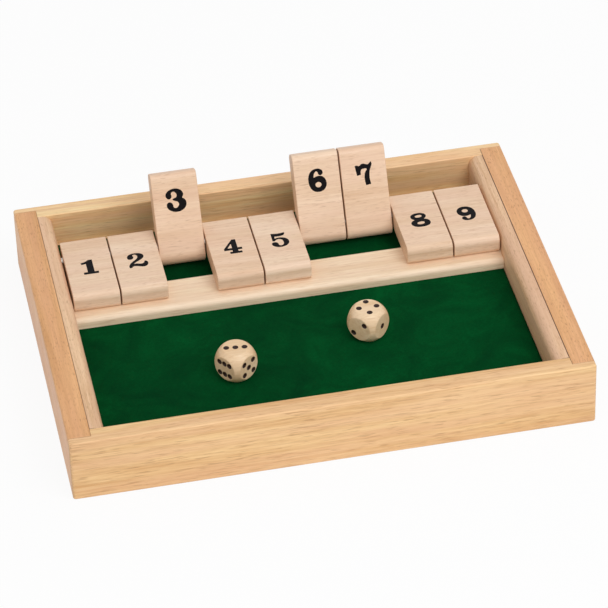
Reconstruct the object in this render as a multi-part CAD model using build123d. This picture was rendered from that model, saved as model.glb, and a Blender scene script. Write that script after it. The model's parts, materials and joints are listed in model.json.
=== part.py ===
# Shut the box game: a shallow open wooden tray with nine numbered tiles that flip
# about one steel rod, a rest ledge under the lowered tiles, a felt floor and two dice.
# Units are mm. X runs along the row of tiles, Y from the front board to the back board,
# Z up. The origin is the centre of the underside. Tiles 3, 6 and 7 are raised at rest.
import os
from math import cos, radians, sin

from build123d import *

# ---- Box boards ------------------------------------------------------------
end_board_thickness = 8.3     # front and back boards
side_board_thickness = 9.7    # left and right boards
corner_lip = 3.4              # part of the front and back boards that covers a side board's end
upright_corner_radius = 1.2
top_edge_radius = 0.9
bottom_edge_radius = 0.8
inner_edge_radius = 0.5
joint_chamfer = 0.2           # eased edge where two boards meet, seen as a fine line

# ---- Floor -----------------------------------------------------------------
floor_recess = 8.8            # height of the panel's underside above the table
panel_thickness = 5.0
groove_depth = 3.0
groove_clearance = 0.1        # above the panel and at its edges
felt_thickness = 1.0

# ---- Rails at the ends of the row of tiles ---------------------------------
rail_thickness = 6.2
rail_edge_radius = 4.5

# ---- Tiles -----------------------------------------------------------------
tile_count = 9
raised_tiles = (3, 6, 7)
tile_width = 20.2
tile_length = 40.6
tile_thickness = 8.5
tile_side_gap = 0.64
tile_front_radius = 3.0       # top edge of the end that a finger lifts
tile_heel_radius = 4.5        # lower edge of the pivot end, which swings past the felt
tile_front_lower_radius = 2.5
tile_side_edge_radius = 0.4
raised_angle = 116.0          # turn from flat to rest, in degrees
stop_clearance = 0.05         # from the raised tile's heel to the felt, taken up by the nap

# ---- Pivot rod -------------------------------------------------------------
rod_diameter = 3.5
rod_seat_clearance = 0.02     # radial, in the rails and side boards
tile_bore_clearance = 0.06    # radial, in the tiles
rod_socket_depth = 4.0        # blind hole in each side board
rod_end_clearance = 0.1

# ---- Rest ledge and tray ---------------------------------------------------
ledge_width = 19.0
ledge_height = 4.8
ledge_edge_radius = 2.5
tray_depth = 85.1             # front board to ledge
tile_setback = 5.3            # from the ledge's front to the tiles' front ends
rear_space = 19.9             # behind the lowered tiles
rim_above_tiles = 1.2

# ---- Dice ------------------------------------------------------------------
die_size = 14.3
die_ball_diameter = 18.0      # ball that rounds off the cube's corners
die_edge_radius = 0.5         # between a flat face and the ball
pip_spacing = 5.4
pip_diameter = 2.5
pip_depth = 0.6
die_lift = 0.02               # clearance of a die's lower face above the felt
die_a_place = (-32.8, -36.3)  # centre in the tray
die_b_place = (26.7, -22.2)
die_a_yaw = -52.0
die_b_yaw = -44.6

# ---- Worked out from the sizes above ---------------------------------------
row_length = tile_count * tile_width + (tile_count + 1) * tile_side_gap
inner_length = row_length + 2 * rail_thickness
box_length = inner_length + 2 * side_board_thickness
inner_depth = tray_depth + tile_setback + tile_length + rear_space
box_depth = inner_depth + 2 * end_board_thickness

panel_top = floor_recess + panel_thickness
felt_top = panel_top + felt_thickness
ledge_top = felt_top + ledge_height
tile_top = ledge_top + tile_thickness
box_height = tile_top + rim_above_tiles

front_inside = -inner_depth / 2
ledge_front = front_inside + tray_depth
tile_front = ledge_front + tile_setback
tile_back = tile_front + tile_length

# A raised tile leans back until the square upper edge of its pivot end rubs on the felt.
half_tile = tile_thickness / 2
pivot_height = ledge_height + half_tile
raised = radians(raised_angle)
heel_length = (pivot_height - stop_clearance + half_tile * cos(raised)) / sin(raised)
pivot_y = tile_back - heel_length
pivot_z = felt_top + pivot_height


def span_box(x_range, y_range, z_range):
    """A box between two values on each axis."""
    low = Vector(x_range[0], y_range[0], z_range[0])
    high = Vector(x_range[1], y_range[1], z_range[1])
    size = high - low
    return Pos(low + size / 2) * Box(size.X, size.Y, size.Z)


def edges_at(solid, axis, **limits):
    """Edges along axis whose middle lies at the given x, y or z values."""
    def matches(edge):
        middle = edge.center()
        return all(abs(getattr(middle, name.upper()) - value) < 0.01 for name, value in limits.items())
    return solid.edges().filter_by(axis).filter_by(matches)


def end_edges(solid, axis):
    """Edges of the two flat faces that close the solid along axis."""
    faces = solid.faces().sort_by(axis)
    return faces[0].edges() + faces[-1].edges()


def outer_block():
    """The box as one block with its outer edges rounded, from which the boards are cut."""
    block = span_box((-box_length / 2, box_length / 2), (-box_depth / 2, box_depth / 2), (0, box_height))
    block = fillet(block.edges().filter_by(Axis.Z), upright_corner_radius)
    block = fillet(block.faces().sort_by(Axis.Z)[-1].edges(), top_edge_radius)
    return fillet(block.faces().sort_by(Axis.Z)[0].edges(), bottom_edge_radius)


def base_panel():
    """Plywood floor held in a groove all round."""
    half_x = inner_length / 2 + groove_depth - groove_clearance
    half_y = inner_depth / 2 + groove_depth - groove_clearance
    return span_box((-half_x, half_x), (-half_y, half_y), (floor_recess, panel_top))


def panel_groove():
    half_x = inner_length / 2 + groove_depth
    half_y = inner_depth / 2 + groove_depth
    return span_box((-half_x, half_x), (-half_y, half_y), (floor_recess, panel_top + groove_clearance))


def end_board(side):
    """Front (side -1) or back (side 1) board, with a lip over each side board's end."""
    outer = side * box_depth / 2
    lip_back = outer - side * corner_lip
    inner = side * inner_depth / 2
    lip = span_box((-box_length / 2, box_length / 2), sorted((outer, lip_back)), (0, box_height))
    body = span_box((-inner_length / 2, inner_length / 2), sorted((outer, inner)), (0, box_height))
    board = outer_block() & (lip + body)
    board = fillet(edges_at(board, Axis.X, y=inner, z=box_height), inner_edge_radius)
    return board - panel_groove()


def side_board(side):
    """Left (side -1) or right (side 1) board, with a socket for the rod's end."""
    outer = side * box_length / 2
    inner = side * inner_length / 2
    half_y = box_depth / 2 - corner_lip
    board = outer_block() & span_box(sorted((outer, inner)), (-half_y, half_y), (0, box_height))
    board = chamfer(end_edges(board, Axis.Y) + edges_at(board, Axis.Y, x=inner, z=box_height), joint_chamfer)
    socket_end = inner + side * rod_socket_depth
    socket = rod_cylinder(rod_diameter / 2 + rod_seat_clearance, -abs(socket_end), abs(socket_end))
    return board - panel_groove() - socket


def rod_cylinder(radius, x_low, x_high):
    """A cylinder on the pivot line between two x values."""
    place = Pos((x_low + x_high) / 2, pivot_y, pivot_z) * Rot(0, 90, 0)
    return place * Cylinder(radius, x_high - x_low)


def pivot_rod():
    half = inner_length / 2 + rod_socket_depth - rod_end_clearance
    return rod_cylinder(rod_diameter / 2, -half, half)


def end_rail(side):
    """Rail beside the tiles, flush with the side board, its inner top edge rounded."""
    outer = side * inner_length / 2
    inner = side * row_length / 2
    half_y = inner_depth / 2
    rail = span_box(sorted((outer, inner)), (-half_y, half_y), (panel_top, box_height))
    rail = fillet(edges_at(rail, Axis.Y, x=inner, z=box_height), rail_edge_radius)
    rail = chamfer(end_edges(rail, Axis.Y) + edges_at(rail, Axis.Y, x=outer, z=box_height), joint_chamfer)
    return rail - rod_cylinder(rod_diameter / 2 + rod_seat_clearance, -box_length / 2, box_length / 2)


def felt_lining():
    half_x = row_length / 2
    half_y = inner_depth / 2
    return span_box((-half_x, half_x), (-half_y, half_y), (panel_top, felt_top))


def rest_ledge():
    """Bar on the felt that carries the front ends of the lowered tiles."""
    half_x = row_length / 2
    bar = span_box((-half_x, half_x), (ledge_front, ledge_front + ledge_width), (felt_top, ledge_top))
    bar = fillet(edges_at(bar, Axis.X, y=ledge_front, z=ledge_top), ledge_edge_radius)
    return chamfer(end_edges(bar, Axis.X), joint_chamfer)


def tile(number):
    """One tile, flat on the ledge or turned up about the rod."""
    x_low = -row_length / 2 + tile_side_gap + (number - 1) * (tile_width + tile_side_gap)
    x_high = x_low + tile_width
    block = span_box((x_low, x_high), (tile_front, tile_back), (ledge_top, tile_top))
    block = fillet(edges_at(block, Axis.X, y=tile_front, z=tile_top), tile_front_radius)
    block = fillet(edges_at(block, Axis.X, y=tile_back, z=ledge_top), tile_heel_radius)
    block = fillet(edges_at(block, Axis.X, y=tile_front, z=ledge_top), tile_front_lower_radius)
    sides = block.faces().filter_by(Axis.X).edges()
    block = fillet(sides, tile_side_edge_radius)
    block -= rod_cylinder(rod_diameter / 2 + tile_bore_clearance, x_low - 1, x_high + 1)
    if number in raised_tiles:
        block = block.rotate(Axis((0, pivot_y, pivot_z), (-1, 0, 0)), raised_angle)
    return block


def pip_centres(value):
    """Pip places on a face, as (u, v) in mm from its centre."""
    step = pip_spacing / 2
    corner_pair = [(-step, -step), (step, step)]
    other_pair = [(-step, step), (step, -step)]
    side_pair = [(0, -step), (0, step)]
    centre = [(0, 0)] if value % 2 else []
    pairs = {1: [], 2: corner_pair, 3: corner_pair, 4: corner_pair + other_pair,
             5: corner_pair + other_pair, 6: corner_pair + other_pair + side_pair}
    return centre + pairs[value]


def die(top, front, place, yaw):
    """A die with the given top and front values, its opposite faces adding up to 7.

    The third value follows from 1, 2 and 3 running anticlockwise round their corner.
    """
    half = die_size / 2
    body = Box(die_size, die_size, die_size) & Sphere(die_ball_diameter / 2)
    body = fillet(body.edges().filter_by(GeomType.CIRCLE), die_edge_radius)
    right = right_value(top, front)
    faces = [
        (top, (0, 0, 1), (1, 0, 0)), (7 - top, (0, 0, -1), (1, 0, 0)),
        (front, (0, -1, 0), (1, 0, 0)), (7 - front, (0, 1, 0), (1, 0, 0)),
        (right, (1, 0, 0), (0, 1, 0)), (7 - right, (-1, 0, 0), (0, 1, 0)),
    ]
    pip_radius = pip_diameter / 2
    cutter_radius = (pip_radius**2 + pip_depth**2) / (2 * pip_depth)
    for value, normal, along in faces:
        face = Plane(Vector(normal) * half, x_dir=along, z_dir=normal)
        for u, v in pip_centres(value):
            body -= face * Pos(u, v, cutter_radius - pip_depth) * Sphere(cutter_radius)
    return Pos(place[0], place[1], felt_top + die_lift + half) * Rot(0, 0, yaw) * body


def right_value(top, front):
    """Value on the right face, from the values on the top and the front."""
    axes = {1: Vector(1, 0, 0), 2: Vector(0, 1, 0), 3: Vector(0, 0, 1),
            6: Vector(-1, 0, 0), 5: Vector(0, -1, 0), 4: Vector(0, 0, -1)}
    right = axes[top].cross(axes[front])
    return next(value for value, axis in axes.items() if (axis - right).length < 0.5)


parts = {
    "front_board": end_board(-1),
    "back_board": end_board(1),
    "left_board": side_board(-1),
    "right_board": side_board(1),
    "base_panel": base_panel(),
    "felt_lining": felt_lining(),
    "left_rail": end_rail(-1),
    "right_rail": end_rail(1),
    "rest_ledge": rest_ledge(),
    "pivot_rod": pivot_rod(),
    "die_a": die(3, 6, die_a_place, die_a_yaw),
    "die_b": die(4, 2, die_b_place, die_b_yaw),
}
for number in range(1, tile_count + 1):
    parts[f"tile_{number}"] = tile(number)

os.makedirs("parts", exist_ok=True)
for name, shape in parts.items():
    export_step(shape, f"parts/{name}.step")

print(f"box {box_length:.2f} x {box_depth:.2f} x {box_height:.2f}")
print(f"pivot y {pivot_y:.3f} z {pivot_z:.3f} heel {heel_length:.3f}")
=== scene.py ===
"""Shut the box game: the finish of the wooden box, tiles and dice, the printed numbers, the painted
pips and the felt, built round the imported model."""
import json
import math

import bmesh
import bpy
from mathutils import Matrix, Vector, noise


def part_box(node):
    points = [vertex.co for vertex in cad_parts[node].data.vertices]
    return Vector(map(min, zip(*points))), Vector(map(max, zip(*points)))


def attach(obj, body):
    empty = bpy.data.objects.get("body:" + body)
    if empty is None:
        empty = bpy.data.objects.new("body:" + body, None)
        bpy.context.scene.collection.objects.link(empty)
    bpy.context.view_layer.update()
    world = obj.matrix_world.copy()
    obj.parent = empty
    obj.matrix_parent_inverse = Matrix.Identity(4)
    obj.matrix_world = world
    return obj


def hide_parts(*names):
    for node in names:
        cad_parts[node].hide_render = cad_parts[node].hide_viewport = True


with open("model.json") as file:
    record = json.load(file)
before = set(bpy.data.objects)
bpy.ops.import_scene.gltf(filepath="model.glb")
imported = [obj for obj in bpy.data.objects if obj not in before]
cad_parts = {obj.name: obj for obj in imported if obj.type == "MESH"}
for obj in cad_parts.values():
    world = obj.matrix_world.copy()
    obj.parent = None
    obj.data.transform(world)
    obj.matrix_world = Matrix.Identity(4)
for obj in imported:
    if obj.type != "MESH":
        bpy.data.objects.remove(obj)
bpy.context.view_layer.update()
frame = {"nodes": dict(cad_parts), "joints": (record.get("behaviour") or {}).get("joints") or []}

MM = 0.001


def corners(node_name):
    """A CAD node's lowest and highest corner."""
    return tuple(Vector(corner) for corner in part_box(node_name))


# ---- Sizes repeated from the part's source, in metres -----------------------
TILE_COUNT = 9
RAISED_TILES = (3, 6, 7)
RAISED_ANGLE = math.radians(116)
DIE_YAW = {"die_a": math.radians(-52.0), "die_b": math.radians(-44.6)}
DIE_TOP_FRONT = {"die_a": (3, 6), "die_b": (4, 2)}
PIP_SPACING = 5.4 * MM
PIP_RADIUS = 1.25 * MM
PIP_DEPTH = 0.6 * MM

# ---- Places read from the model ---------------------------------------------
TILE_1_LOW, TILE_1_HIGH = corners("tile_1")
TILE_PITCH = corners("tile_2")[0].x - TILE_1_LOW.x
TILE_LENGTH = TILE_1_HIGH.y - TILE_1_LOW.y
TILE_WIDTH = TILE_1_HIGH.x - TILE_1_LOW.x
PIVOT = Vector(next(joint["pos_m"] for joint in frame["joints"] if joint["name"] == "tile_1_flip"))
RIM_TOP = corners("front_board")[1].z
SIDE_BOARD_END = corners("left_board")[1].y
RAIL_OUTSIDE = corners("right_rail")[1].x
RAIL_END = corners("right_rail")[1].y

# ---- Wood colours and painted joint shade -----------------------------------
# Each wood's pale, deep, rosy and fleck colours
END_BOARD_COLOURS = ("#f5ce96", "#d9a66d", "#ecba94", "#a56f42")
# The back board is the same beech as the end boards, painted paler all over as painted light for its inner face,
# which gets less light behind the tiles
BACK_BOARD_PAINTED_LIGHT_COLOURS = ("#ffe2ac", "#eebd83", "#facba0", "#b07a4a")
SIDE_BOARD_COLOURS = ("#efb77f", "#d39a62", "#dfa27a", "#a4683a")
RAIL_COLOURS = ("#f0c9a0", "#d0a376", "#e5b899", "#a87750")
LEDGE_COLOURS = ("#fde8ca", "#ecceaa", "#f6d6bc", "#bb8c62")
TILE_COLOURS = ("#f7dcc1", "#e4c19f", "#efcbb3", "#bf9470")
DIE_COLOURS = ("#f6dcb8", "#e3be90", "#ecc9a4", "#b88a5e")
JOINT_SHADE_COLOUR = "#4a2213"
JOINT_SHADE_DEPTH = 0.9 * MM                # painted shade for a joint's gap shows on its eased top edge, this far down from the rim
PLANK_JUMP = 37.1 * MM               # from one tile's place in the plank to the next one's
GAP_SHARE = 0.2 * MM                 # a tile's place in the plank starts this far into the gap on its left

# Painted shade lines for the joint gaps beside the rails and at the side boards' ends, as (axis, distance, half
# width, strength)
RAIL_SIDE_JOINT_SHADE = [("X", RAIL_OUTSIDE, 0.2 * MM, 0.9), ("X", -RAIL_OUTSIDE, 0.14 * MM, 0.6)]
SIDE_BOARD_JOINT_SHADE = RAIL_SIDE_JOINT_SHADE + [("Y", SIDE_BOARD_END, 0.2 * MM, 0.55), ("Y", -SIDE_BOARD_END, 0.2 * MM, 0.55)]
RAIL_JOINT_SHADE = RAIL_SIDE_JOINT_SHADE + [("Y", RAIL_END, 0.12 * MM, 0.6), ("Y", -RAIL_END, 0.12 * MM, 0.6)]

# ---- Print and paint sizes --------------------------------------------------
NUMBER_HEIGHT = 10.3 * MM
INK_THICKNESS = 0.03 * MM
INK_PROUD = 0.006 * MM               # the rest of the ink has sunk into the wood
NUMBER_FROM_FREE_END = 12.1 * MM     # on the face that shows when the tile is raised
PAINT_THICKNESS = 0.02 * MM

# ---- Felt sizes -------------------------------------------------------------
FELT_GRID = 1.2 * MM
NAP_HEIGHT = 0.10 * MM
FELT_TRIM = 0.25 * MM                # clearance of the cut edge from the rails and the front board
FELT_BACK_TRIM = 2.5 * MM            # cut shorter behind the tiles, out of sight
FELT_EDGE_DROP = 0.25 * MM           # the pressed edge lies this much lower
FELT_EDGE_WIDTH = 0.9 * FELT_GRID

# ---- Camera and light settings ----------------------------------------------
CAMERA_PLACE = Vector((-0.2100, -1.1804, 0.9264))
CAMERA_AZIMUTH = math.radians(-10.25)
CAMERA_ELEVATION = math.radians(37.12)
CAMERA_ROLL = math.radians(-2.03)
PICTURE_WIDTH = 36                   # mm
CAMERA_LENS = 208.2                  # mm
SOFTBOXES = [                        # name, place and size in metres, power in watts
    ("key_softbox", (0.45, -0.75, 1.05), 0.9, 8.2),
    ("front_fill", (-0.25, -1.25, 0.42), 0.8, 1.2),
    ("left_fill", (-1.2, -0.25, 0.45), 0.8, 0.9),
]
WORLD_LIGHT = 0.58
TABLE_WHITENESS = 0.86
TABLE_SHADOW_SHARE = 0.08            # how much of the table's real, shadowed surface the camera sees
TABLE_HALF_WIDTH = 3.0


# ---- Node helpers -----------------------------------------------------------
FACTOR, FIRST, SECOND = 0, 6, 7      # socket numbers of a Mix node that mixes colours


def add(tree, kind, inputs=(), stops=(), **settings):
    """Adds a node.

    Inputs are values, output sockets or nodes, by socket name or number, and a node stands for its
    first live output. Stops are a colour ramp's (position, colour) pairs. Settings are the node's
    own properties.
    """
    node = tree.nodes.new(kind)
    for key, value in settings.items():
        setattr(node, key, value)
    for key, value in dict(inputs).items():
        if isinstance(value, bpy.types.Node):
            value = next(socket for socket in value.outputs if socket.enabled)
        if isinstance(value, bpy.types.NodeSocket):
            tree.links.new(value, node.inputs[key])
        else:
            node.inputs[key].default_value = value
    if stops:
        elements = node.color_ramp.elements
        while len(elements) < len(stops):
            elements.new(0.5)
        for element, (position, colour) in zip(elements, stops):
            element.position = position
            element.color = colour
    return node


def linear(hex_colour):
    """An sRGB hex colour as linear RGBA."""
    channels = [int(hex_colour[i:i + 2], 16) / 255 for i in (1, 3, 5)]
    return tuple(c / 12.92 if c <= 0.04045 else ((c + 0.055) / 1.055) ** 2.4 for c in channels) + (1.0,)


def grey(value):
    return (value, value, value, 1.0)


def new_material(name):
    material = bpy.data.materials.new(name)
    material.use_nodes = True
    material.node_tree.nodes.clear()
    return material, material.node_tree


# ---- Wood -------------------------------------------------------------------
def place_in_plank(tree, place):
    """The tiles' number in the row, and a place that jumps along the plank from tile to tile."""
    x = add(tree, "ShaderNodeSeparateXYZ", {0: place}).outputs["X"]
    from_first = add(tree, "ShaderNodeMath", {0: x, 1: TILE_1_LOW.x - GAP_SHARE}, operation="SUBTRACT")
    tiles_along = add(tree, "ShaderNodeMath", {0: from_first, 1: TILE_PITCH}, operation="DIVIDE")
    tile_number = add(tree, "ShaderNodeMath", {0: tiles_along}, operation="FLOOR")
    jump = add(tree, "ShaderNodeMath", {0: tile_number, 1: PLANK_JUMP}, operation="MULTIPLY")
    shift = add(tree, "ShaderNodeCombineXYZ", {"X": jump, "Y": jump, "Z": jump})
    return tile_number, add(tree, "ShaderNodeVectorMath", {0: place, 1: shift}, operation="ADD")


def painted_joint_shade(tree, wood, place, joint_shade_lines):
    """The wood's colour, with painted shade darkening the eased edges of its joints, standing in for the shadow in
    their gaps.
    """
    at = add(tree, "ShaderNodeSeparateXYZ", {0: place}).outputs
    near_top = add(tree, "ShaderNodeMath", {0: at["Z"], 1: RIM_TOP - JOINT_SHADE_DEPTH}, operation="GREATER_THAN")
    for axis, distance, half_width, strength in joint_shade_lines:
        signed = add(tree, "ShaderNodeMath", {0: at[axis], 1: distance}, operation="SUBTRACT")
        away = add(tree, "ShaderNodeMath", {0: signed}, operation="ABSOLUTE")
        in_widths = add(tree, "ShaderNodeMath", {0: away, 1: half_width}, operation="DIVIDE")
        covered = add(tree, "ShaderNodeMath", {0: 1.5, 1: in_widths}, operation="SUBTRACT", use_clamp=True)
        on_edge = add(tree, "ShaderNodeMath", {0: covered, 1: near_top}, operation="MULTIPLY")
        amount = add(tree, "ShaderNodeMath", {0: on_edge, 1: strength}, operation="MULTIPLY")
        wood = add(tree, "ShaderNodeMix", {FACTOR: amount, FIRST: wood, SECOND: linear(JOINT_SHADE_COLOUR)},
                   data_type="RGBA")
    return wood


def lacquered_wood(name, colours, grain, offset=0.0, contrast=1.0, fleck_amount=0.5, fleck_length=17,
                   layer_lines=0.25, rosiness=0.35, coat=0.15, per_tile=False, joint_shade_lines=()):
    """Beech or maple planed along `grain` ("X" or "Y"), sanded and given a thin satin lacquer.

    `colours` are its pale, deep, rosy and fleck colours. Soft bands of yellow and rosy wood 5 to 10 mm
    wide, lines of about 1 mm and thin dark ray flecks run along the grain, the flecks `fleck_length`
    times as long as wide. Faces that cut across it are darker and speckled. `offset` picks another part
    of the same plank.
    """
    pale, deep, rosy, fleck = (linear(colour) for colour in colours)
    material, tree = new_material(name)
    own_place = place = add(tree, "ShaderNodeTexCoord").outputs["Object"]
    if per_tile:
        tile_number, place = place_in_plank(tree, own_place)

    def figure(per_mm, length_ratio, detail=2.0, roughness=0.5, distortion=0.0, start=0.0):
        """Streaks `per_mm` to the millimetre across the grain, and `length_ratio` times as long along it."""
        scale = [1 / MM] * 3
        scale["XY".index(grain)] /= length_ratio
        shift = offset + start
        stretched = add(tree, "ShaderNodeMapping", {"Vector": place, "Location": (shift, shift * 0.7, shift * 1.3),
                                                    "Scale": scale})
        return add(tree, "ShaderNodeTexNoise", {"Vector": stretched, "Scale": per_mm, "Detail": detail,
                                                "Roughness": roughness, "Distortion": distortion})

    bands = figure(0.11, 15, distortion=0.5)
    lines = figure(0.85, 28, detail=4.0, roughness=0.6)
    fibres = figure(3.2, 30)
    tone = -0.575                    # brings the sum of the three, each around 0.5, to 0.5
    for streaks, share in ((bands, 0.9), (lines, 0.8), (fibres, 0.45)):
        tone = add(tree, "ShaderNodeMath", {0: streaks, 1: share, 2: tone}, operation="MULTIPLY_ADD")
    reach = 0.19 / contrast
    wood = add(tree, "ShaderNodeValToRGB", {"Fac": tone}, [(0.5 - reach, deep), (0.5 + reach, pale)])
    rosy_bands = add(tree, "ShaderNodeValToRGB", {"Fac": figure(0.15, 16, start=31.0)},
                     [(0.4, grey(0)), (0.62, grey(rosiness))])
    wood = add(tree, "ShaderNodeMix", {FACTOR: rosy_bands, FIRST: wood, SECOND: rosy}, data_type="RGBA")

    # Ray flecks 0.4 mm wide, thicker on the ground in some patches than in others
    dashes = add(tree, "ShaderNodeValToRGB", {"Fac": figure(2.4, fleck_length, detail=1.0, start=5.0)},
                 [(0.57, grey(0)), (0.7, grey(fleck_amount))])
    patches = add(tree, "ShaderNodeValToRGB", {"Fac": figure(0.2, 3, start=11.0)},
                  [(0.38, grey(0.35)), (0.62, grey(1))])
    dash_strength = add(tree, "ShaderNodeMath", {0: dashes, 1: patches}, operation="MULTIPLY")
    wood = add(tree, "ShaderNodeMix", {FACTOR: dash_strength, FIRST: wood, SECOND: fleck}, data_type="RGBA")

    # Thin darker lines where a growth layer comes to the surface
    layers = add(tree, "ShaderNodeValToRGB", {"Fac": figure(0.3, 42, detail=1.5, start=19.0)},
                 [(0.482, grey(0)), (0.5, grey(layer_lines)), (0.518, grey(0))])
    wood = add(tree, "ShaderNodeMix", {FACTOR: layers, FIRST: wood, SECOND: fleck}, data_type="RGBA")

    # End grain: closed pores instead of lines
    normal = add(tree, "ShaderNodeTexCoord").outputs["Normal"]
    across = add(tree, "ShaderNodeSeparateXYZ", {0: normal}).outputs[grain]
    facing = add(tree, "ShaderNodeMath", {0: across}, operation="ABSOLUTE")
    end_face = add(tree, "ShaderNodeValToRGB", {"Fac": facing}, [(0.72, grey(0)), (0.9, grey(0.7))])
    pores = add(tree, "ShaderNodeValToRGB", {"Fac": figure(3.2, 1)}, [(0.35, fleck), (0.6, deep)])
    wood = add(tree, "ShaderNodeMix", {FACTOR: end_face, FIRST: wood, SECOND: pores}, data_type="RGBA")

    if per_tile:
        # Some tiles are a little warmer than others
        chance = add(tree, "ShaderNodeTexWhiteNoise", {"W": tile_number}, noise_dimensions="1D")
        warmth = add(tree, "ShaderNodeMath", {0: chance, 1: 0.35}, operation="MULTIPLY")
        wood = add(tree, "ShaderNodeMix", {FACTOR: warmth, FIRST: wood, SECOND: linear("#f9ebe0")},
                   data_type="RGBA", blend_type="MULTIPLY")

    # Painted shade along the board joints near the rim, standing in for the shadow in their gaps
    if joint_shade_lines:
        wood = painted_joint_shade(tree, wood, own_place, joint_shade_lines)

    # Handling has polished the surface unevenly
    gloss = add(tree, "ShaderNodeValToRGB", {"Fac": figure(0.12, 1.5, detail=3.0)},
                [(0.3, grey(0.44)), (0.7, grey(0.58))])
    height = 0.0
    for streaks in (fibres, lines):
        height = add(tree, "ShaderNodeMath", {0: streaks, 1: 0.5, 2: height}, operation="MULTIPLY_ADD")
    bump = add(tree, "ShaderNodeBump", {"Height": height, "Strength": 0.45, "Distance": 0.08 * MM})
    shader = add(tree, "ShaderNodeBsdfPrincipled", {"Base Color": wood, "Roughness": gloss, "Normal": bump,
                                                    "IOR": 1.5, "Coat Weight": coat, "Coat Roughness": 0.28})
    add(tree, "ShaderNodeOutputMaterial", {"Surface": shader})
    return material


def plywood():
    """Birch plywood, seen under the box: pale, with rotary-cut figure of about 80 x 15 mm and fibre lines."""
    material, tree = new_material("birch_plywood")
    place = add(tree, "ShaderNodeTexCoord").outputs["Object"]
    broad_place = add(tree, "ShaderNodeMapping", {"Vector": place, "Scale": (0.012 / MM, 0.07 / MM, 0.07 / MM)})
    broad = add(tree, "ShaderNodeTexNoise", {"Vector": broad_place, "Scale": 1.0, "Detail": 5.0, "Distortion": 1.6})
    fine_place = add(tree, "ShaderNodeMapping", {"Vector": place, "Scale": (0.06 / MM, 2.2 / MM, 2.2 / MM)})
    fine = add(tree, "ShaderNodeTexNoise", {"Vector": fine_place, "Scale": 1.0, "Detail": 2.0})
    tone = 0.0
    for streaks, share in ((broad, 0.75), (fine, 0.25)):
        tone = add(tree, "ShaderNodeMath", {0: streaks, 1: share, 2: tone}, operation="MULTIPLY_ADD")
    colour = add(tree, "ShaderNodeValToRGB", {"Fac": tone},
                 [(0.38, linear("#c79a6a")), (0.5, linear("#dcb888")), (0.62, linear("#e6c89c"))])
    bump = add(tree, "ShaderNodeBump", {"Height": fine, "Strength": 0.3, "Distance": 0.05 * MM})
    shader = add(tree, "ShaderNodeBsdfPrincipled", {"Base Color": colour, "Roughness": 0.62, "Normal": bump})
    add(tree, "ShaderNodeOutputMaterial", {"Surface": shader})
    return material


# ---- Steel, felt, ink and paint ---------------------------------------------
def drawn_steel():
    """Bright drawn steel: a pale grey metal with faint draw lines 0.25 mm wide along the rod."""
    material, tree = new_material("bright_drawn_steel")
    place = add(tree, "ShaderNodeTexCoord").outputs["Object"]
    drawn = add(tree, "ShaderNodeMapping", {"Vector": place, "Scale": (0.02 / MM, 4 / MM, 4 / MM)})
    lines = add(tree, "ShaderNodeTexNoise", {"Vector": drawn, "Scale": 1.0, "Detail": 2.0})
    colour = add(tree, "ShaderNodeValToRGB", {"Fac": lines}, [(0.3, linear("#b9b6ae")), (0.7, linear("#dddad2"))])
    roughness = add(tree, "ShaderNodeValToRGB", {"Fac": lines}, [(0.3, grey(0.30)), (0.7, grey(0.22))])
    shader = add(tree, "ShaderNodeBsdfPrincipled", {"Base Color": colour, "Metallic": 1.0, "Roughness": roughness})
    add(tree, "ShaderNodeOutputMaterial", {"Surface": shader})
    return material


def pressed_felt():
    """Pressed wool felt: deep green and matt, in clouds of 20 mm where the nap lies different ways,
    tufts of 1 mm and fibres of 0.2 mm."""
    material, tree = new_material("pressed_wool_felt")
    place = add(tree, "ShaderNodeTexCoord").outputs["Object"]

    def nap(per_mm, detail, distortion=0.0):
        return add(tree, "ShaderNodeTexNoise", {"Vector": place, "Scale": per_mm / MM, "Detail": detail,
                                                "Roughness": 0.6, "Distortion": distortion})

    clouds = nap(0.045, 4.0, 0.8)
    tufts = nap(0.9, 3.0)
    fibres = nap(5.0, 2.0, 1.5)
    tone = 0.0
    for layer, share in ((clouds, 0.6), (tufts, 0.22), (fibres, 0.18)):
        tone = add(tree, "ShaderNodeMath", {0: layer, 1: share, 2: tone}, operation="MULTIPLY_ADD")
    colour = add(tree, "ShaderNodeValToRGB", {"Fac": tone},
                 [(0.36, linear("#003719")), (0.5, linear("#00421d")), (0.66, linear("#005024"))])
    height = add(tree, "ShaderNodeMath", {0: tufts, 1: fibres}, operation="ADD")
    bump = add(tree, "ShaderNodeBump", {"Height": height, "Strength": 0.8, "Distance": 0.15 * MM})
    shader = add(tree, "ShaderNodeBsdfPrincipled", {"Base Color": colour, "Roughness": 0.95, "Normal": bump,
                                                    "Specular IOR Level": 0.04})
    add(tree, "ShaderNodeOutputMaterial", {"Surface": shader})
    return material


def printing_ink():
    """Screen-printed ink: near black and matt, thin enough to show the wood's fibre lines, 0.2 mm wide."""
    material, tree = new_material("screen_printed_ink")
    place = add(tree, "ShaderNodeTexCoord").outputs["Object"]
    lines_place = add(tree, "ShaderNodeMapping", {"Vector": place, "Scale": (0.15 / MM, 5 / MM, 5 / MM)})
    lines = add(tree, "ShaderNodeTexNoise", {"Vector": lines_place, "Scale": 1.0, "Detail": 2.0})
    colour = add(tree, "ShaderNodeValToRGB", {"Fac": lines}, [(0.35, linear("#08070a")), (0.7, linear("#171315"))])
    roughness = add(tree, "ShaderNodeValToRGB", {"Fac": lines}, [(0.3, grey(0.5)), (0.7, grey(0.68))])
    bump = add(tree, "ShaderNodeBump", {"Height": lines, "Strength": 0.3, "Distance": 0.02 * MM})
    shader = add(tree, "ShaderNodeBsdfPrincipled", {"Base Color": colour, "Roughness": roughness, "Normal": bump,
                                                    "IOR": 1.5, "Specular IOR Level": 0.08})
    add(tree, "ShaderNodeOutputMaterial", {"Surface": shader})
    return material


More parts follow.
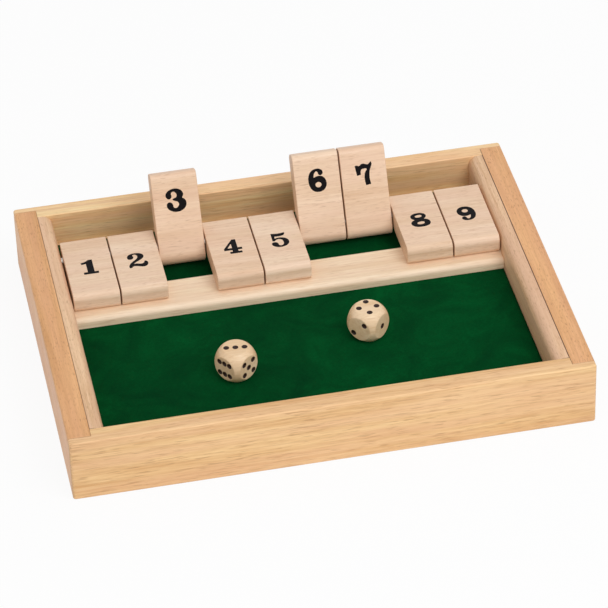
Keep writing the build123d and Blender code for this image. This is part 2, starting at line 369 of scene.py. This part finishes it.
def pip_paint():
    """Enamel paint run into the drilled pips: dark brown, with a soft gloss, uneven by about 1 mm."""
    material, tree = new_material("enamel_pip_paint")
    place = add(tree, "ShaderNodeTexCoord").outputs["Object"]
    uneven = add(tree, "ShaderNodeTexNoise", {"Vector": place, "Scale": 0.9 / MM, "Detail": 2.0})
    colour = add(tree, "ShaderNodeValToRGB", {"Fac": uneven}, [(0.3, linear("#1c0c07")), (0.7, linear("#341a12"))])
    roughness = add(tree, "ShaderNodeValToRGB", {"Fac": uneven}, [(0.3, grey(0.4)), (0.7, grey(0.55))])
    shader = add(tree, "ShaderNodeBsdfPrincipled", {"Base Color": colour, "Roughness": roughness, "IOR": 1.5,
                                                    "Specular IOR Level": 0.3})
    add(tree, "ShaderNodeOutputMaterial", {"Surface": shader})
    return material


# ---- Mesh helpers -----------------------------------------------------------
def add_to_scene(name, data):
    piece = bpy.data.objects.new(name, data)
    bpy.context.scene.collection.objects.link(piece)
    return piece


def object_from_bmesh(name, mesh_data, material, smooth=True):
    mesh = bpy.data.meshes.new(name)
    mesh_data.to_mesh(mesh)
    mesh_data.free()
    mesh.materials.append(material)
    for polygon in mesh.polygons:
        polygon.use_smooth = smooth
    return add_to_scene(name, mesh)


def evaluated_mesh(piece):
    """The piece's shape with its modifiers, or its curve, made a plain mesh in its own coordinates."""
    return bpy.data.meshes.new_from_object(piece.evaluated_get(bpy.context.evaluated_depsgraph_get()))


# ---- Felt -------------------------------------------------------------------
def felt_sheet(material):
    """Felt cut to the floor between the rails, its top a little uneven and its cut edge rounded."""
    low, high = corners("felt_lining")
    low += Vector((FELT_TRIM, FELT_TRIM, 0))
    high -= Vector((FELT_TRIM, FELT_BACK_TRIM, 0))
    columns = round((high.x - low.x) / FELT_GRID)
    rows = round((high.y - low.y) / FELT_GRID)
    data = bmesh.new()
    top = []
    for row in range(rows + 1):
        line = []
        for column in range(columns + 1):
            x = low.x + (high.x - low.x) * column / columns
            y = low.y + (high.y - low.y) * row / rows
            place = Vector((x, y, 0)) / MM
            tufts = noise.noise(place * 0.35) * 0.6 + noise.noise(place * 1.1) * 0.4      # 3 mm and 1 mm wide
            edge = min(x - low.x, high.x - x, y - low.y, high.y - y)
            drop = NAP_HEIGHT * (1 - 0.9 * tufts) + FELT_EDGE_DROP * max(0.0, 1 - edge / FELT_EDGE_WIDTH)
            line.append(data.verts.new((x, y, high.z - drop)))
        top.append(line)
    for row in range(rows):
        for column in range(columns):
            data.faces.new((top[row][column], top[row][column + 1], top[row + 1][column + 1], top[row + 1][column]))
    rim = top[0] + [line[-1] for line in top[1:]] + top[-1][-2::-1] + [line[0] for line in top[-2:0:-1]]
    foot = [data.verts.new((vert.co.x, vert.co.y, low.z)) for vert in rim]
    for index, vert in enumerate(rim):
        following = (index + 1) % len(rim)
        data.faces.new((vert, foot[index], foot[following], rim[following]))
    data.faces.new(foot[::-1])
    sheet = object_from_bmesh("felt_sheet", data, material)
    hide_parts("felt_lining")
    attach(sheet, "box")


# ---- Numbers ----------------------------------------------------------------
# Outlines of bold slab-serif numbers, in hundredths of their height, walked round.
# A point marked "corner" is sharp, the others are joined by a smooth curve.
CORNER = "corner"


def oval(x, y, radius_x, radius_y, lean=0.0):
    """Four smooth points round an oval counter."""
    turn = Matrix.Rotation(math.radians(lean), 2)
    return [tuple(Vector((x, y)) + turn @ Vector(corner)) for corner in
            ((radius_x, 0), (0, radius_y), (-radius_x, 0), (0, -radius_y))]


SIX = [
    [(39, 100), (56, 96), (65, 84), (61, 73), (53, 70), (45.5, 75), (43, 84), (37, 88), (29, 82), (24.5, 70),
     (24, 62, CORNER), (36, 67), (52, 68), (67, 60), (77, 38), (72, 16), (57, 3), (39, 0), (19, 6), (5, 24),
     (0, 51), (4, 75), (17, 93)],
    oval(41.5, 31, 13, 11.5),
]
NUMBERS = {
    1: [[(33, 100, CORNER), (50, 100, CORNER), (50, 15, CORNER), (67, 15, CORNER), (67, 0, CORNER), (4, 0, CORNER),
         (4, 15, CORNER), (21, 15, CORNER), (21, 74, CORNER), (2, 70, CORNER), (0, 83, CORNER), (19, 89)]],
    2: [[(2, 73), (7, 88), (21, 98), (41, 100), (62, 94), (72, 78), (66, 60), (50, 47), (33, 35), (24, 27, CORNER),
         (36, 27), (50, 23), (61, 23), (68, 30), (72, 39), (80, 36), (84, 24), (79, 8), (66, 0), (52, 2),
         (36, 8), (20, 9), (12, 1), (5, 0), (2, 7), (6, 24), (20, 42), (37, 57), (45, 71), (43, 85), (34, 91),
         (26, 86), (29, 77), (25, 64), (14, 59), (5, 63)]],
    3: [[(0, 71), (4, 85), (18, 95), (39, 100), (60, 95), (72, 84), (75, 70), (69, 58, CORNER), (81, 48), (85, 32),
         (79, 16), (63, 4), (40, 0), (18, 6), (4, 18), (1, 32), (5, 41), (14, 44), (23, 40), (28, 31), (29, 22),
         (37, 17), (47, 21), (53, 32), (47, 43), (35, 48), (28, 54), (34, 59), (43, 62), (47, 71), (43, 82),
         (33, 87), (24, 81), (25, 69), (21, 60), (12, 57), (4, 62)]],
    4: [[(44, 100, CORNER), (60, 100, CORNER), (60, 40, CORNER), (78, 40, CORNER), (78, 25, CORNER),
         (60, 25, CORNER), (60, 14, CORNER), (75, 14, CORNER), (75, 0, CORNER), (23, 0, CORNER), (23, 14, CORNER),
         (35, 14, CORNER), (35, 25, CORNER), (1, 25, CORNER), (1, 38, CORNER)],
        [(36, 40, CORNER), (36, 70, CORNER), (17, 40, CORNER)]],
    5: [[(9, 100, CORNER), (36, 96), (68, 100, CORNER), (65, 86), (56, 79), (38, 76), (22, 77, CORNER),
         (20, 63, CORNER), (35, 67), (53, 65), (70, 54), (77, 35), (70, 14), (52, 2), (30, 0), (11, 8), (2, 22),
         (5, 34), (15, 38), (25, 34), (30, 24), (32, 14), (42, 11), (51, 19), (53, 35), (48, 50), (36, 56),
         (24, 52), (17, 44, CORNER), (8, 46, CORNER)]],
    6: SIX,
    7: [[(0, 88, CORNER), (9, 89), (19, 86), (28, 92), (38, 94), (49, 90), (57, 89), (64, 94), (70, 100, CORNER),
         (74, 91), (70, 78), (63, 61), (60, 42), (60, 23), (63, 3, CORNER), (41, 0, CORNER), (38, 20), (38, 40),
         (43, 58), (50, 70), (38, 72), (28, 70), (24, 62), (23, 47, CORNER), (6, 45, CORNER), (3, 67)]],
    8: [[(41, 100), (60, 96), (72, 84), (70, 67), (60, 56, CORNER), (76, 47), (83, 30), (77, 12), (60, 2),
         (41, 0), (20, 3), (5, 14), (0, 29), (6, 44), (19, 53, CORNER), (9, 63), (6, 78), (14, 92)],
        oval(40, 77, 15, 8.5, 6), oval(42, 28, 16, 9.5, 6)],
    9: [[(78 - point[0], 100 - point[1], *point[2:]) for point in outline] for outline in SIX],
}


def number_mesh(value):
    """The printed number as a thin closed slab, centred, lying in the XY plane with its top towards +Y."""
    curve = bpy.data.curves.new(f"outline_{value}", "CURVE")
    curve.dimensions = "2D"
    curve.fill_mode = "BOTH"
    curve.resolution_u = 6
    curve.extrude = INK_THICKNESS / 2
    widest = max(point[0] for point in NUMBERS[value][0])
    unit = NUMBER_HEIGHT / 100
    for outline in NUMBERS[value]:
        spline = curve.splines.new("BEZIER")
        spline.bezier_points.add(len(outline) - 1)
        spline.use_cyclic_u = True
        for point, place in zip(spline.bezier_points, outline):
            point.co = ((place[0] - widest / 2) * unit, (place[1] - 50) * unit, 0)
            kind = "VECTOR" if CORNER in place else "AUTO"
            point.handle_left_type = kind
            point.handle_right_type = kind
    holder = add_to_scene("outline_holder", curve)
    bpy.context.view_layer.update()
    mesh = evaluated_mesh(holder)
    bpy.data.objects.remove(holder)
    return mesh


def printed_number(tile, face, material):
    """The number on a tile's upper face, or on the face that comes to the front when it is raised."""
    middle = TILE_1_LOW.x + (tile - 1) * TILE_PITCH + TILE_WIDTH / 2
    if face == "upper":
        place = Vector((middle, TILE_1_LOW.y + TILE_LENGTH / 2, TILE_1_HIGH.z + INK_PROUD - INK_THICKNESS / 2))
        flat = Matrix.Translation(place)
    else:
        # Lying face down, the number reads upright once the tile has turned up.
        place = Vector((middle, TILE_1_LOW.y + NUMBER_FROM_FREE_END, TILE_1_LOW.z - INK_PROUD + INK_THICKNESS / 2))
        flat = Matrix.Translation(place) @ Matrix.Rotation(math.pi, 4, "X")
    turn = Matrix.Identity(4)
    if tile in RAISED_TILES:
        turn = Matrix.Translation(PIVOT) @ Matrix.Rotation(-RAISED_ANGLE, 4, "X") @ Matrix.Translation(-PIVOT)
    mesh = number_mesh(tile)
    mesh.transform(turn @ flat)
    mesh.materials.clear()
    mesh.materials.append(material)
    piece = add_to_scene(f"number_{tile}_{face}", mesh)
    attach(piece, f"tile_{tile}")


# ---- Pips -------------------------------------------------------------------
def pip_places(value):
    """The places of a value's pips on a face, from its middle."""
    step = PIP_SPACING / 2
    corner_pair = [(-step, -step), (step, step)]
    other_pair = [(-step, step), (step, -step)]
    side_pair = [(0, -step), (0, step)]
    centre = [(0, 0)] if value % 2 else []
    pairs = {1: [], 2: corner_pair, 3: corner_pair, 4: corner_pair + other_pair, 5: corner_pair + other_pair,
             6: corner_pair + other_pair + side_pair}
    return centre + pairs[value]


def right_value(top, front):
    """The value on a die's right face, from the values on its top and front."""
    axes = {1: Vector((1, 0, 0)), 2: Vector((0, 1, 0)), 3: Vector((0, 0, 1)),
            6: Vector((-1, 0, 0)), 5: Vector((0, -1, 0)), 4: Vector((0, 0, -1))}
    right = axes[top].cross(axes[front])
    return next(value for value, axis in axes.items() if (axis - right).length < 0.5)


def paint_bowl(material):
    """The paint that lines one drilled pip: a shallow bowl that opens towards +Z."""
    bowl_radius = (PIP_RADIUS**2 + PIP_DEPTH**2) / (2 * PIP_DEPTH)
    rings, sides = 4, 20
    data = bmesh.new()
    circles = []
    for ring in range(1, rings + 1):
        radius = PIP_RADIUS * ring / rings
        depth = math.sqrt(bowl_radius**2 - radius**2) - (bowl_radius - PIP_DEPTH) - PAINT_THICKNESS
        angles = (2 * math.pi * side / sides for side in range(sides))
        circles.append([data.verts.new((radius * math.cos(a), radius * math.sin(a), -depth)) for a in angles])
    bottom = data.verts.new((0, 0, -PIP_DEPTH + PAINT_THICKNESS))
    for side in range(sides):
        following = (side + 1) % sides
        data.faces.new((bottom, circles[0][side], circles[0][following]))
        for inner, outer in zip(circles, circles[1:]):
            data.faces.new((inner[side], outer[side], outer[following], inner[following]))
    return object_from_bmesh("paint_bowl", data, material)


def pips_tree(bowl, material):
    """A tree that puts a bowl of paint on each point, its +Z turned to the point's "facing" attribute."""
    tree = bpy.data.node_groups.new("pips_on_die", "GeometryNodeTree")
    tree.interface.new_socket("Geometry", in_out="INPUT", socket_type="NodeSocketGeometry")
    tree.interface.new_socket("Geometry", in_out="OUTPUT", socket_type="NodeSocketGeometry")
    tree.interface.new_socket("Pip size", in_out="INPUT", socket_type="NodeSocketFloat").default_value = 1.0
    entry = add(tree, "NodeGroupInput").outputs
    facing = add(tree, "GeometryNodeInputNamedAttribute", {"Name": "facing"}, data_type="FLOAT_VECTOR")
    turn = add(tree, "FunctionNodeAlignRotationToVector", {"Vector": facing}, axis="Z")
    source = add(tree, "GeometryNodeObjectInfo", {"Object": bowl}).outputs["Geometry"]
    points = add(tree, "GeometryNodeMeshToPoints", {"Mesh": entry["Geometry"]})
    copies = add(tree, "GeometryNodeInstanceOnPoints", {"Points": points, "Instance": source, "Rotation": turn,
                                                        "Scale": entry["Pip size"]})
    real = add(tree, "GeometryNodeRealizeInstances", {"Geometry": copies})
    finished = add(tree, "GeometryNodeSetMaterial", {"Geometry": real, "Material": material})
    add(tree, "NodeGroupOutput", {"Geometry": finished})
    return tree


def set_tree_input(modifier, name, value):
    """Sets a tree's named input on the modifier, by the socket's identifier."""
    socket = next(item for item in modifier.node_group.interface.items_tree
                  if item.name == name and item.in_out == "INPUT")
    modifier[socket.identifier] = value


def painted_pips(die, tree):
    """Paint in all 21 pips of one die, each bowl on its drilled recess."""
    low, high = corners(die)
    centre = (low + high) / 2
    half = (high.z - low.z) / 2
    turn = Matrix.Rotation(DIE_YAW[die], 3, "Z")
    top, front = DIE_TOP_FRONT[die]
    right = right_value(top, front)
    faces = [                        # value, direction it faces, direction along it
        (top, (0, 0, 1), (1, 0, 0)), (7 - top, (0, 0, -1), (1, 0, 0)),
        (front, (0, -1, 0), (1, 0, 0)), (7 - front, (0, 1, 0), (1, 0, 0)),
        (right, (1, 0, 0), (0, 1, 0)), (7 - right, (-1, 0, 0), (0, 1, 0)),
    ]
    places, facings = [], []
    for value, normal, along in faces:
        normal, along = Vector(normal), Vector(along)
        across = normal.cross(along)
        for u, v in pip_places(value):
            places.append(centre + turn @ (normal * half + along * u + across * v))
            facings.append(turn @ normal)
    mesh = bpy.data.meshes.new(f"{die}_pips")
    mesh.from_pydata(places, [], [])
    attribute = mesh.attributes.new("facing", "FLOAT_VECTOR", "POINT")
    for item, facing in zip(attribute.data, facings):
        item.vector = facing
    piece = add_to_scene(f"{die}_pips", mesh)
    modifier = piece.modifiers.new("pips", "NODES")
    modifier.node_group = tree
    set_tree_input(modifier, "Pip size", 1.0)
    plain = evaluated_mesh(piece)
    piece.modifiers.clear()
    piece.data = plain
    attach(piece, die)


# ---- Camera, light and table ------------------------------------------------
def photo_camera():
    """The photograph's view, without lens shift."""
    back = Vector((math.sin(CAMERA_AZIMUTH) * math.cos(CAMERA_ELEVATION),
                   -math.cos(CAMERA_AZIMUTH) * math.cos(CAMERA_ELEVATION), math.sin(CAMERA_ELEVATION)))
    level = Vector((math.cos(CAMERA_AZIMUTH), math.sin(CAMERA_AZIMUTH), 0))
    upright = back.cross(level)
    right = level * math.cos(CAMERA_ROLL) + upright * math.sin(CAMERA_ROLL)
    up = upright * math.cos(CAMERA_ROLL) - level * math.sin(CAMERA_ROLL)
    data = bpy.data.cameras.new("camera")
    data.lens = CAMERA_LENS
    data.sensor_width = PICTURE_WIDTH
    data.clip_start = 50 * MM
    camera = add_to_scene("camera", data)
    camera.matrix_world = Matrix.Translation(CAMERA_PLACE) @ Matrix((right, up, back)).transposed().to_4x4()
    bpy.context.scene.camera = camera


def softbox(name, place, size, power):
    """A square softbox that looks at the middle of the box."""
    data = bpy.data.lights.new(name, "AREA")
    data.size = size
    data.energy = power
    lamp = add_to_scene(name, data)
    lamp.location = place
    lamp.rotation_euler = (-Vector(place)).to_track_quat("-Z", "Y").to_euler()


def seen_directly(tree):
    """1 where the camera sees this straight, or in a gloss or glass reflection, and 0 for the light it gives."""
    path = add(tree, "ShaderNodeLightPath").outputs
    straight = add(tree, "ShaderNodeMath", {0: path["Is Camera Ray"], 1: path["Is Transmission Ray"]},
                   operation="MAXIMUM")
    return add(tree, "ShaderNodeMath", {0: straight, 1: path["Is Glossy Ray"]}, operation="MAXIMUM")


def white_studio():
    """A room that looks plain white and gives less light than it seems to."""
    world = bpy.data.worlds.new("white_studio")
    bpy.context.scene.world = world
    world.use_nodes = True
    tree = world.node_tree
    tree.nodes.clear()
    light = add(tree, "ShaderNodeBackground", {"Color": grey(1), "Strength": WORLD_LIGHT})
    white = add(tree, "ShaderNodeBackground", {"Color": grey(1), "Strength": 1.0})
    mixed = add(tree, "ShaderNodeMixShader", {0: seen_directly(tree), 1: light, 2: white})
    add(tree, "ShaderNodeOutputWorld", {"Surface": mixed})


def white_table():
    """A matt white table: the camera sees mostly plain white, with a share of the real, shadowed surface."""
    material, tree = new_material("white_table")
    real = add(tree, "ShaderNodeBsdfDiffuse", {"Color": grey(TABLE_WHITENESS)})
    plain = add(tree, "ShaderNodeEmission", {"Color": grey(1), "Strength": 1.0})
    share = add(tree, "ShaderNodeMath", {0: seen_directly(tree), 1: 1 - TABLE_SHADOW_SHARE}, operation="MULTIPLY")
    mixed = add(tree, "ShaderNodeMixShader", {0: share, 1: real, 2: plain})
    add(tree, "ShaderNodeOutputMaterial", {"Surface": mixed})
    data = bmesh.new()
    bmesh.ops.create_grid(data, x_segments=1, y_segments=1, size=TABLE_HALF_WIDTH)
    floor = object_from_bmesh("floor", data, material, smooth=False)


# ---- Put together -----------------------------------------------------------
bpy.context.scene.view_settings.view_transform = "Standard"
photo_camera()
white_studio()
white_table()
for lamp in SOFTBOXES:
    softbox(*lamp)

END_BOARD_BEECH = lacquered_wood("lacquered_beech_end_boards", END_BOARD_COLOURS, "X", contrast=0.85,
                                 fleck_amount=0.55, layer_lines=0.22)
# Painted light: the back board's beech is paler than the end boards' to make up for the light its inner face lacks
BACK_BOARD_BEECH_PAINTED_LIGHT = lacquered_wood("lacquered_beech_back_board_painted_light", BACK_BOARD_PAINTED_LIGHT_COLOURS, "X", offset=61.0,
                                  layer_lines=0.3, rosiness=0.6)
SIDE_BOARD_BEECH = lacquered_wood("lacquered_beech_side_boards", SIDE_BOARD_COLOURS, "Y", offset=17.0, contrast=0.8,
                                  fleck_amount=0.55, fleck_length=6, layer_lines=0.12, joint_shade_lines=SIDE_BOARD_JOINT_SHADE)
RAIL_BEECH = lacquered_wood("sanded_beech_rails", RAIL_COLOURS, "Y", offset=43.0, fleck_length=7, layer_lines=0.15,
                            rosiness=0.6, joint_shade_lines=RAIL_JOINT_SHADE)
LEDGE_BEECH = lacquered_wood("sanded_beech_ledge", LEDGE_COLOURS, "X", offset=29.0, fleck_amount=0.35,
                             layer_lines=0.15)
TILE_BEECH = lacquered_wood("sanded_beech_tiles", TILE_COLOURS, "X", offset=83.0, contrast=0.75, fleck_amount=0.45,
                            fleck_length=9, layer_lines=0.1, coat=0.08, per_tile=True)
DIE_MAPLE = lacquered_wood("tumbled_maple_dice", DIE_COLOURS, "X", offset=7.0, contrast=0.8, fleck_amount=0.2,
                           layer_lines=0.1, coat=0.2)

NODE_MATERIALS = {
    "front_board": END_BOARD_BEECH, "back_board": BACK_BOARD_BEECH_PAINTED_LIGHT, "left_board": SIDE_BOARD_BEECH,
    "right_board": SIDE_BOARD_BEECH, "left_rail": RAIL_BEECH, "right_rail": RAIL_BEECH, "rest_ledge": LEDGE_BEECH,
    "base_panel": plywood(), "pivot_rod": drawn_steel(), "die_a": DIE_MAPLE, "die_b": DIE_MAPLE,
}
NODE_MATERIALS.update({f"tile_{number}": TILE_BEECH for number in range(1, TILE_COUNT + 1)})
for node_name, finish in NODE_MATERIALS.items():
    for slot in frame["nodes"][node_name].material_slots:
        slot.material = finish

felt_sheet(pressed_felt())

INK = printing_ink()
for number in range(1, TILE_COUNT + 1):
    for face in ("upper", "under"):
        printed_number(number, face, INK)

PIP_PAINT = pip_paint()
bowl_of_paint = paint_bowl(PIP_PAINT)
pips = pips_tree(bowl_of_paint, PIP_PAINT)
for die in ("die_a", "die_b"):
    painted_pips(die, pips)
bpy.data.objects.remove(bowl_of_paint)
